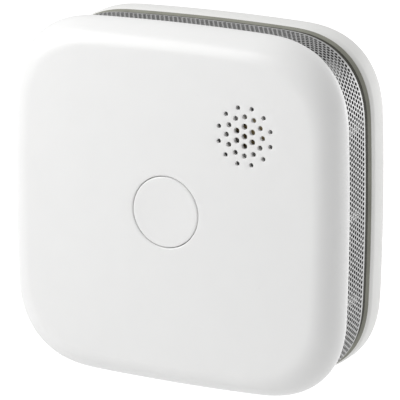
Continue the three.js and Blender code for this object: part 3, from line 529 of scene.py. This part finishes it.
def sound_holes():
    """The middle and radius of each hole. A ring is a count, a distance, a share and a start."""
    rings = (
        (1, 0.0, 1.0, 0.0),
        (6, HOLE_RING_PITCH, 1.0, 0.0),
        (12, 2 * HOLE_RING_PITCH, MIDDLE_HOLE_SHARE, 0.0),
        (12, OUTER_RING_PITCH * HOLE_RING_PITCH, OUTER_HOLE_SHARE, 0.5),
    )
    for count, distance, share, start in rings:
        for number in range(count):
            angle = (number + start) / count * 2 * math.pi
            place = (
                sound_middle[0] + distance * math.sin(angle),
                sound_middle[1] + distance * math.cos(angle),
            )
            yield place, HOLE_RADIUS * share


def front_cover():
    shape = Shape()
    holes = [
        (place, radius, HOLE_ROUND, HOLE_SIDES, HOLE_ROUND_STEPS)
        for place, radius in sound_holes()
    ]
    button_hole = BUTTON_RADIUS + BUTTON_GAP
    holes.append(((0.0, 0.0), button_hole, BUTTON_ROUND, BUTTON_SIDES, BUTTON_ROUND_STEPS))
    outlines, fronts, rears = [], [], []
    for place, radius, rounding, sides, steps in holes:
        loops = []
        for sine, cosine in quarter_arc(steps):
            reach = radius + rounding * (1 - sine)
            drop = rounding * (1 - cosine)
            loops.append(shape.loop(circle(reach, sides, place), on_face(drop)))
        loops.append(shape.loop(circle(radius, sides, place), on_face(COVER_WALL - HOLE_ROUND)))
        loops.append(shape.loop(circle(radius + rounding, sides, place), on_face(COVER_WALL)))
        shape.run(loops)
        outlines.append(circle(radius + rounding, sides, place))
        fronts.append(loops[0])
        rears.append(loops[-1])

    extra = []
    half = FACE_POINT_SPACING
    stagger = 0.0
    while half < flat_half - FACE_POINT_SPACING / 2:
        count = max(FEWEST_FACE_POINTS, round(2 * math.pi * half / FACE_POINT_SPACING))
        for number in range(count):
            angle = (number + stagger) / count * 2 * math.pi
            angle = math.atan2(math.sin(angle), math.cos(angle))
            reach = half * unit_radius(angle)
            x, z = reach * math.cos(angle), reach * math.sin(angle)
            if all(
                math.dist((x, z), place) > radius + FACE_POINT_CLEARANCE
                for place, radius, *_ in holes
            ):
                extra.append((x, z))
        half += FACE_POINT_SPACING
        stagger = 0.5 - stagger

    profile = []
    for sine, _ in quarter_arc(EDGE_STEPS, 1):
        half = flat_half + EDGE_WIDTH * sine
        profile.append((half, face_y(half)))
    for step in range(1, SKIRT_STEPS):
        share = step / SKIRT_STEPS
        profile.append((rim_half - SKIRT_DRAFT * share ** 2, rim_y + SKIRT_DEPTH * share))
    for sine, cosine in quarter_arc(SKIRT_ROUND_STEPS):
        inwards = SKIRT_ROUND * (1 - cosine)
        profile.append((skirt_half - inwards, skirt_y - SKIRT_ROUND * (1 - sine)))
    profile.append((skirt_half - COVER_WALL + SKIRT_LIP, skirt_y))
    profile.append((skirt_half - COVER_WALL, skirt_y - SKIRT_LIP))
    for step in range(EDGE_STEPS, 0, -INNER_EDGE_STRIDE):
        half = flat_half + (EDGE_WIDTH - COVER_WALL) * math.sin(step / EDGE_STEPS * math.pi / 2)
        profile.append((half, face_y(half, COVER_WALL)))

    flat_ring = ring(flat_half)
    front_ring = shape.loop(flat_ring, face_y(flat_half))
    rear_ring = shape.loop(flat_ring, face_y(flat_half) + COVER_WALL)
    shape.run([front_ring, *[shape.loop(ring(half), y) for half, y in profile], rear_ring])
    layers = [(on_face(), front_ring, fronts), (on_face(COVER_WALL), rear_ring, rears)]
    shape.fill(flat_ring, outlines, layers, extra)
    shape.make("cover_shell", DETECTOR, "cover_plastic", "front_cover")


# ------------------------------------------------------------------ test button


def test_button():
    shape = Shape()
    stem_rear = box_mm("test_button")[1].y
    front = face_y(BUTTON_RADIUS / unit_radius(0.0))
    profile = [(0.0, front + BUTTON_DISH)]
    for step in range(1, BUTTON_DISH_STEPS + 1):
        radius = (BUTTON_RADIUS - BUTTON_ROUND) * step / BUTTON_DISH_STEPS
        profile.append((radius, front + BUTTON_DISH * (1 - (radius / BUTTON_RADIUS) ** 2)))
    edge_y = profile[-1][1]
    for sine, cosine in quarter_arc(BUTTON_ROUND_STEPS, 1):
        radius = BUTTON_RADIUS - BUTTON_ROUND * (1 - sine)
        profile.append((radius, edge_y + BUTTON_ROUND * (1 - cosine)))
    disc_rear = front + BUTTON_THICKNESS
    skirt_rear = disc_rear + BUTTON_SKIRT_LENGTH
    skirt_outer = BUTTON_RADIUS - BUTTON_SKIRT_INSET
    skirt_inner = skirt_outer - BUTTON_SKIRT_WALL
    profile += [
        (BUTTON_RADIUS, disc_rear),
        (skirt_outer, disc_rear),
        (skirt_outer, skirt_rear),
        (skirt_inner, skirt_rear),
        (skirt_inner, disc_rear),
        (BUTTON_STEM_RADIUS, disc_rear),
        (BUTTON_STEM_RADIUS, stem_rear),
        (0.0, stem_rear),
    ]
    lathe(shape, profile, BUTTON_SIDES)
    lug_front = face_y(BUTTON_RADIUS + BUTTON_GAP, COVER_WALL) + GAP
    for number in range(LUG_COUNT):
        sector(
            shape, BUTTON_RADIUS + BUTTON_GAP + LUG_REACH, skirt_outer - BUTTON_SKIRT_WALL / 2,
            lug_front + LUG_THICKNESS, lug_front, 90 + number / LUG_COUNT * 360, LUG_ANGLE,
        )
    shape.make("button_cap", "button", "cover_plastic", "test_button")


# ------------------------------------------------------------------ screen and seal


def path_along(outline):
    """A closed path, as a function from a share of its length to a place and its inward normal."""
    lengths = [0.0]
    count = len(outline)
    for number in range(count):
        lengths.append(lengths[-1] + math.dist(outline[number], outline[(number + 1) % count]))
    total = lengths[-1]

    def place(share):
        reach = (share % 1.0) * total
        number = min(bisect.bisect(lengths, reach) - 1, count - 1)
        start, end = outline[number], outline[(number + 1) % count]
        part = (reach - lengths[number]) / (lengths[number + 1] - lengths[number])
        x = start[0] + (end[0] - start[0]) * part
        z = start[1] + (end[1] - start[1]) * part
        step = math.dist(start, end)
        return x, z, -(end[1] - start[1]) / step, (end[0] - start[0]) / step

    return total, place


def mesh_screen():
    """A sheet punched with staggered six-sided holes, wrapped round the outline."""
    shape = Shape()
    low, high = box_mm("mesh_screen")
    total, place = path_along(ring(high.x - SCREEN_SHEET))
    columns = round(total / SCREEN_PITCH)
    pitch = total / columns
    rise = pitch * math.sqrt(3) / 2
    corner = pitch / math.sqrt(3)
    rows = int((high.y - low.y - 2 * SCREEN_EDGE - corner) / rise)
    first_y = high.y - SCREEN_EDGE - corner
    known = {}

    def new_point(along, y, out):
        x, z, inward_x, inward_z = place(along / total)
        shift = -SCREEN_SHEET if out else 0.0
        shape.points.append((x + inward_x * shift, y, z + inward_z * shift))
        return len(shape.points) - 1

    def column_key(along):
        return round(along / total * columns * KEYS_PER_PITCH) % (columns * KEYS_PER_PITCH)

    def shared_point(along, y, out):
        key = (column_key(along), round(y * KEYS_PER_MM), out)
        if key not in known:
            known[key] = new_point(along, y, out)
        return known[key]

    edges = {-1: set(), 1: set()}
    for row in range(rows):
        y = first_y - row * rise
        for column in range(columns):
            along = (column + (row % 2) / 2) * pitch
            cell, hole = [], []
            for number in range(HEXAGON):
                angle = math.radians(30 + 60 * number)
                across, up = math.cos(angle), math.sin(angle)
                cell.append((along + corner * across, y + corner * up))
                reach = corner * SCREEN_HOLE_SHARE
                hole.append((along + reach * across, y + reach * up))
            levels = []
            for out in (True, False):
                outer = [shared_point(*spot, out) for spot in cell]
                inner = [new_point(*spot, out) for spot in hole]
                for number in range(HEXAGON):
                    onward = (number + 1) % HEXAGON
                    face = (outer[number], outer[onward], inner[onward], inner[number])
                    shape.faces.append(face if out else face[::-1])
                levels.append(inner)
            shape.bridge(*levels)
            if row == 0:
                edges[1].update(cell[number] for number in (0, 1, 2))
            if row == rows - 1:
                edges[-1].update(cell[number] for number in (3, 4, 5))

    ends = {1: high.y, -1: low.y}
    for side, spots in edges.items():
        by_key = {column_key(along): (along, y) for along, y in spots}
        line = [by_key[key] for key in sorted(by_key)]
        sides = []
        for out in (True, False):
            zigzag = [shared_point(along, y, out) for along, y in line]
            border = [shared_point(along, ends[side], out) for along, _ in line]
            shape.bridge(zigzag, border)
            sides.append(border)
        shape.bridge(*sides)
    shape.make(
        "screen_sheet", DETECTOR, "screen_steel", "mesh_screen", sharp=SCREEN_SHARP_ANGLE,
    )


def sealing_ring():
    shape = Shape()
    low, high = box_mm("sealing_ring")
    inner = high.x - SEAL_WIDTH
    corners = [(high.x, high.y), (high.x, low.y), (inner, low.y), (inner, high.y)]
    follow(shape, rounded(corners, SEAL_ROUND))
    shape.make("seal_band", DETECTOR, "seal_rubber", "sealing_ring", sharp=SEAL_SHARP_ANGLE)

    # A thin grey-olive flange over the housing's bevel: a sheet of painted shade, put where the
    # ledge is only in shadow
    lip = Shape()
    reach, fall = high.x + SHADE_FLANGE_WIDTH, high.y + SHADE_FLANGE_DEPTH
    follow(lip, [
        (high.x - SHADE_FLANGE_ROOT, high.y),
        (reach, fall),
        (reach + SHADE_FLANGE_THICKNESS, fall - SHADE_FLANGE_THICKNESS),
        (high.x - SHADE_FLANGE_THICKNESS, high.y - 2 * SHADE_FLANGE_THICKNESS),
    ])
    lip.make(
        "painted_shade_flange", DETECTOR, "seal_rubber", sharp=SEAL_SHARP_ANGLE, finish="painted_ledge_shade",
    )


# ------------------------------------------------------------------ rear housing


def window():
    return [
        (WINDOW_HALF_WIDTH, WINDOW_HALF_LENGTH), (-WINDOW_HALF_WIDTH, WINDOW_HALF_LENGTH),
        (-WINDOW_HALF_WIDTH, -WINDOW_HALF_LENGTH), (WINDOW_HALF_WIDTH, -WINDOW_HALF_LENGTH),
    ]


def rear_housing():
    shape = Shape()
    low, high = box_mm("rear_housing")
    base_half = high.x
    back_y = high.y
    seal_high = box_mm("sealing_ring")[1]
    front_y = seal_high.y + GAP
    inner_y = back_y - BASE_WALL
    recess_y = back_y - RECESS_DEPTH
    floor_y = recess_y - FLOOR_THICKNESS
    recess_radius = PLATE_RADIUS + BAYONET_REACH + BAYONET_SIDE_GAP
    cup_radius = recess_radius + CUP_WALL
    inner_half = base_half - BASE_WALL
    screw_low, screw_high = box_mm("cover_screw_1")
    tower = (screw_low.x + screw_high.x) / 2
    towers = [(x * tower, z * tower) for x, z in ((1, 1), (-1, 1), (-1, -1), (1, -1))]

    back_half = base_half - BACK_ROUND_WIDTH
    back_ring = shape.loop(ring(back_half), back_y)
    profile = [
        (back_half + BACK_ROUND_WIDTH * sine, back_y - BACK_ROUND_DEPTH * (1 - cosine))
        for sine, cosine in quarter_arc(BACK_ROUND_STEPS, 1)
    ]
    profile += [
        (base_half, front_y + BASE_BEVEL_DEPTH + BEVEL_EDGE_DEPTH),
        (base_half - BEVEL_EDGE_MIDDLE, front_y + BASE_BEVEL_DEPTH),
        (base_half - BEVEL_EDGE_WIDTH, front_y + BASE_BEVEL_DEPTH - BEVEL_EDGE_DEPTH),
        (base_half - BASE_BEVEL_WIDTH, front_y + BASE_LIP),
        (base_half - BASE_BEVEL_WIDTH - BASE_LIP, front_y),
        (inner_half + BASE_LIP, front_y),
        (inner_half, front_y + BASE_LIP),
    ]
    inner_ring = shape.loop(ring(inner_half), inner_y)
    shape.run([back_ring, *[shape.loop(ring(half), y) for half, y in profile], inner_ring])

    recess_lip = shape.loop(circle(recess_radius + BACK_LIP, ROUND_SIDES), back_y)
    recess_top = shape.loop(circle(recess_radius, ROUND_SIDES), back_y - BACK_LIP)
    recess_foot = shape.loop(circle(recess_radius, ROUND_SIDES), recess_y)
    shape.run([recess_lip, recess_top, recess_foot])
    cup_foot = shape.loop(circle(cup_radius, ROUND_SIDES), inner_y)
    cup_top = shape.loop(circle(cup_radius, ROUND_SIDES), floor_y)
    shape.bridge(cup_foot, cup_top)
    window_rear = shape.loop(window(), recess_y)
    window_front = shape.loop(window(), floor_y)
    shape.bridge(window_rear, window_front)
    for radius, height, outer_loop, window_loop in (
        (recess_radius, recess_y, recess_foot, window_rear),
        (cup_radius, floor_y, cup_top, window_front),
    ):
        shape.fill(circle(radius, ROUND_SIDES), [window()], [(height, outer_loop, [window_loop])])

    bore_lips, tower_feet, bore_outlines, tower_outlines = [], [], [], []
    seat_y = back_y - COUNTERBORE_DEPTH
    for place in towers:
        bore_outlines.append(circle(COUNTERBORE_RADIUS + BACK_LIP, SMALL_SIDES, place))
        lip_loop = shape.loop(bore_outlines[-1], back_y)
        bore_lips.append(lip_loop)
        tower_outlines.append(circle(TOWER_RADIUS, SMALL_SIDES, place))
        foot = shape.loop(tower_outlines[-1], inner_y)
        tower_feet.append(foot)
        shape.run([
            lip_loop,
            shape.loop(circle(COUNTERBORE_RADIUS, SMALL_SIDES, place), back_y - BACK_LIP),
            shape.loop(circle(COUNTERBORE_RADIUS, SMALL_SIDES, place), seat_y),
            shape.loop(circle(SCREW_HOLE_RADIUS, SMALL_SIDES, place), seat_y),
            shape.loop(circle(SCREW_HOLE_RADIUS, SMALL_SIDES, place), low.y),
            shape.loop(circle(TOWER_RADIUS - BACK_LIP, SMALL_SIDES, place), low.y),
            shape.loop(tower_outlines[-1], low.y + BACK_LIP),
            foot,
        ])
    shape.fill(
        ring(back_half), [circle(recess_radius + BACK_LIP, ROUND_SIDES), *bore_outlines],
        [(back_y, back_ring, [recess_lip, *bore_lips])],
    )
    shape.fill(
        ring(inner_half), [circle(cup_radius, ROUND_SIDES), *tower_outlines],
        [(inner_y, inner_ring, [cup_foot, *tower_feet])],
    )
    shape.make(
        "housing_tray", DETECTOR, "housing_plastic", "rear_housing", sharp=HOUSING_SHARP_ANGLE,
    )

    posts = Shape()
    post_half = seal_high.x - SEAL_WIDTH - GAP
    for quarter in range(4):
        for along in (-POST_PITCH, 0.0, POST_PITCH):
            outer = side_reach(post_half, along)
            inner = side_reach(post_half - POST_DEPTH, along)
            half = POST_WIDTH / 2
            outline = rounded([
                (outer, along - half), (outer, along + half),
                (inner, along + half), (inner, along - half),
            ], POST_ROUND)
            outline = quarter_turn(outline, quarter)
            rear = posts.loop(outline, inner_y + POST_FOOT_GAP)
            front = posts.loop(outline, low.y)
            posts.bridge(rear, front)
            posts.cap(rear)
            posts.cap(front)
    posts.make("housing_posts", DETECTOR, "housing_plastic")

    ledges = Shape()
    ledge_inner = PLATE_RADIUS + BAYONET_SIDE_GAP
    ledge_outer = recess_radius + CUP_WALL / 2
    ledge_front = -PLATE_RIM_HEIGHT + BAYONET_LUG_THICKNESS + GAP
    stop_middle = (BAYONET_ANGLE + BAYONET_STOP_ANGLE) / 2 + BAYONET_STOP_CLEARANCE
    ledge_rear = back_y - LEDGE_INSET
    for number in range(BAYONET_COUNT):
        angle = (number + 0.5) / BAYONET_COUNT * 360
        sector(ledges, ledge_outer, ledge_inner, ledge_rear, ledge_front, angle, BAYONET_ANGLE)
        sector(
            ledges, ledge_outer, ledge_inner, ledge_rear, recess_y - GAP,
            angle + stop_middle, BAYONET_STOP_ANGLE, steps=BAYONET_STOP_STEPS,
        )
    ledges.make("bayonet_ledges", DETECTOR, "housing_plastic")


# ------------------------------------------------------------------ mounting plate


def slot_outline(turn):
    half = (SLOT_LENGTH - SLOT_WIDTH) / 2
    outline = []
    for end, start in ((1, -90), (-1, 90)):
        for step in range(SLOT_END_STEPS + 1):
            angle = math.radians(start + 180 * step / SLOT_END_STEPS)
            outline.append((
                SLOT_OFFSET + end * half + SLOT_WIDTH / 2 * math.cos(angle),
                SLOT_WIDTH / 2 * math.sin(angle),
            ))
    return quarter_turn(outline, turn)


def grown(outline, amount):
    """An outline moved outwards by an amount, for shapes with no hollow corners."""
    done = []
    count = len(outline)
    for number in range(count):
        before = Vector(outline[number - 1])
        after = Vector(outline[(number + 1) % count])
        way = (after - before).normalized()
        done.append((outline[number][0] + way.y * amount, outline[number][1] - way.x * amount))
    return done


def mounting_plate():
    shape = Shape()
    slots = [slot_outline(turn) for turn in range(4)]
    lips = [grown(outline, PLATE_EDGE) for outline in slots]
    rear_outline = circle(PLATE_RADIUS - PLATE_EDGE, ROUND_SIDES)
    inner_radius = PLATE_RADIUS - PLATE_RIM_WIDTH
    front_outline = circle(inner_radius, ROUND_SIDES)
    rear = shape.loop(rear_outline, 0.0)
    front = shape.loop(front_outline, -PLATE_THICKNESS)
    shape.run([
        rear,
        shape.loop(circle(PLATE_RADIUS, ROUND_SIDES), -PLATE_EDGE),
        shape.loop(circle(PLATE_RADIUS, ROUND_SIDES), -PLATE_RIM_HEIGHT + PLATE_EDGE),
        shape.loop(circle(PLATE_RADIUS - PLATE_EDGE, ROUND_SIDES), -PLATE_RIM_HEIGHT),
        shape.loop(circle(inner_radius + PLATE_EDGE, ROUND_SIDES), -PLATE_RIM_HEIGHT),
        shape.loop(front_outline, -PLATE_RIM_HEIGHT + PLATE_EDGE),
        front,
    ])
    rear_lips, front_lips = [], []
    for outline, lip in zip(slots, lips):
        loops = [
            shape.loop(lip, 0.0),
            shape.loop(outline, -PLATE_EDGE),
            shape.loop(outline, -PLATE_THICKNESS + PLATE_EDGE),
            shape.loop(lip, -PLATE_THICKNESS),
        ]
        shape.run(loops)
        rear_lips.append(loops[0])
        front_lips.append(loops[-1])

    shape.fill(rear_outline, lips, [(0.0, rear, rear_lips)])
    shape.fill(front_outline, lips, [(-PLATE_THICKNESS, front, front_lips)])
    for number in range(BAYONET_COUNT):
        sector(
            shape, PLATE_RADIUS + BAYONET_REACH, PLATE_RADIUS - PLATE_RIM_WIDTH / 2,
            -PLATE_RIM_HEIGHT + BAYONET_LUG_THICKNESS, -PLATE_RIM_HEIGHT,
            (number + 0.5) / BAYONET_COUNT * 360, BAYONET_ANGLE,
        )
    shape.make(
        "wall_plate", "wall_bracket", "housing_plastic", "mounting_plate",
        sharp=HOUSING_SHARP_ANGLE,
    )


front_cover()
test_button()
mesh_screen()
sealing_ring()
rear_housing()
mounting_plate()

# ------------------------------------------------------------------ camera, floor and light

CAMERA_AZIMUTH = 27.77
CAMERA_ELEVATION = 15.26
CAMERA_DISTANCE = 889.7
CAMERA_LENS = 298.6
CAMERA_AIM = (6.06, rim_y, 2.13)

CAMERA_CLIP = (0.05, 100)

FLOOR_DROP = 150.0
FLOOR_SIZE = 30000.0
FLOOR_SHADE = 0.9
FLOOR_ROUGHNESS = 0.9
GLOW_FROM_Y = 0.05
GLOW_TO_Y = 0.4
GLOW_STRENGTH = 0.6

SKY_WAY = (0.0, 0.5, 0.87)
SKY_RANGE = (0.0, 0.9)

# name, place and size in metres, power in watts
SOFTBOXES = (
    ("key", (-0.3, -0.32, 0.25), 0.35, 1.55),
    ("rim", (0.4, 0.8, 0.1), 0.5, 1.3),
)


def add_camera():
    azimuth, elevation = math.radians(CAMERA_AZIMUTH), math.radians(CAMERA_ELEVATION)
    back = Vector((
        math.sin(azimuth) * math.cos(elevation),
        -math.cos(azimuth) * math.cos(elevation),
        math.sin(elevation),
    ))
    data = bpy.data.cameras.new("camera")
    data.lens = CAMERA_LENS
    data.clip_start, data.clip_end = CAMERA_CLIP
    camera = bpy.data.objects.new("camera", data)
    bpy.context.scene.collection.objects.link(camera)
    camera.location = (Vector(CAMERA_AIM) + back * CAMERA_DISTANCE) * MM
    camera.rotation_mode = "QUATERNION"
    camera.rotation_quaternion = (-back).to_track_quat("-Z", "Y")
    bpy.context.scene.camera = camera


def add_floor():
    """A plain pale floor that glows softly behind the alarm."""
    half = FLOOR_SIZE * MM / 2
    height = cad_low.z - FLOOR_DROP * MM
    mesh = bpy.data.meshes.new("floor")
    corners = [(-half, -half), (half, -half), (half, half), (-half, half)]
    mesh.from_pydata([(x, y, height) for x, y in corners], [], [(0, 1, 2, 3)])
    floor = bpy.data.objects.new("floor", mesh)
    bpy.context.scene.collection.objects.link(floor)
    material = bpy.data.materials.new("pale_floor")
    material.use_nodes = True
    nodes = material.node_tree.nodes
    links = material.node_tree.links
    shader = nodes["Principled BSDF"]
    shader.inputs["Base Color"].default_value = (FLOOR_SHADE, FLOOR_SHADE, FLOOR_SHADE, 1)
    shader.inputs["Roughness"].default_value = FLOOR_ROUGHNESS
    shader.inputs["Emission Color"].default_value = (1, 1, 1, 1)
    place = nodes.new("ShaderNodeSeparateXYZ")
    where = nodes.new("ShaderNodeTexCoord").outputs["Object"]
    links.new(where, place.inputs["Vector"])
    glow = nodes.new("ShaderNodeMapRange")
    glow.inputs["From Min"].default_value = GLOW_FROM_Y
    glow.inputs["From Max"].default_value = GLOW_TO_Y
    glow.inputs["To Max"].default_value = GLOW_STRENGTH
    links.new(place.outputs["Y"], glow.inputs["Value"])
    links.new(glow.outputs["Result"], shader.inputs["Emission Strength"])
    mesh.materials.append(material)


def add_softbox(name, place, size, power):
    data = bpy.data.lights.new(name, "AREA")
    data.shape = "SQUARE"
    data.size = size
    data.energy = power
    light = bpy.data.objects.new(name, data)
    bpy.context.scene.collection.objects.link(light)
    light.location = place
    light.rotation_mode = "QUATERNION"
    light.rotation_quaternion = (-Vector(place)).to_track_quat("-Z", "Y")


def add_sky():
    """A plain white surround, dark below and in front and bright above and behind."""
    world = bpy.data.worlds.new("surround")
    bpy.context.scene.world = world
    world.use_nodes = True
    nodes = world.node_tree.nodes
    links = world.node_tree.links
    way = nodes.new("ShaderNodeTexCoord").outputs["Generated"]
    across = nodes.new("ShaderNodeVectorMath")
    across.operation = "DOT_PRODUCT"
    across.inputs[1].default_value = Vector(SKY_WAY).normalized()
    links.new(way, across.inputs[0])
    spread = nodes.new("ShaderNodeMapRange")
    spread.inputs["From Min"].default_value = -1.0
    spread.inputs["From Max"].default_value = 1.0
    spread.inputs["To Min"].default_value = SKY_RANGE[0]
    spread.inputs["To Max"].default_value = SKY_RANGE[1]
    links.new(across.outputs["Value"], spread.inputs["Value"])
    links.new(spread.outputs["Result"], nodes["Background"].inputs["Strength"])
    nodes["Background"].inputs["Color"].default_value = (1, 1, 1, 1)


add_camera()
add_floor()
add_sky()
for softbox in SOFTBOXES:
    add_softbox(*softbox)
bpy.context.scene.view_settings.view_transform = "Standard"
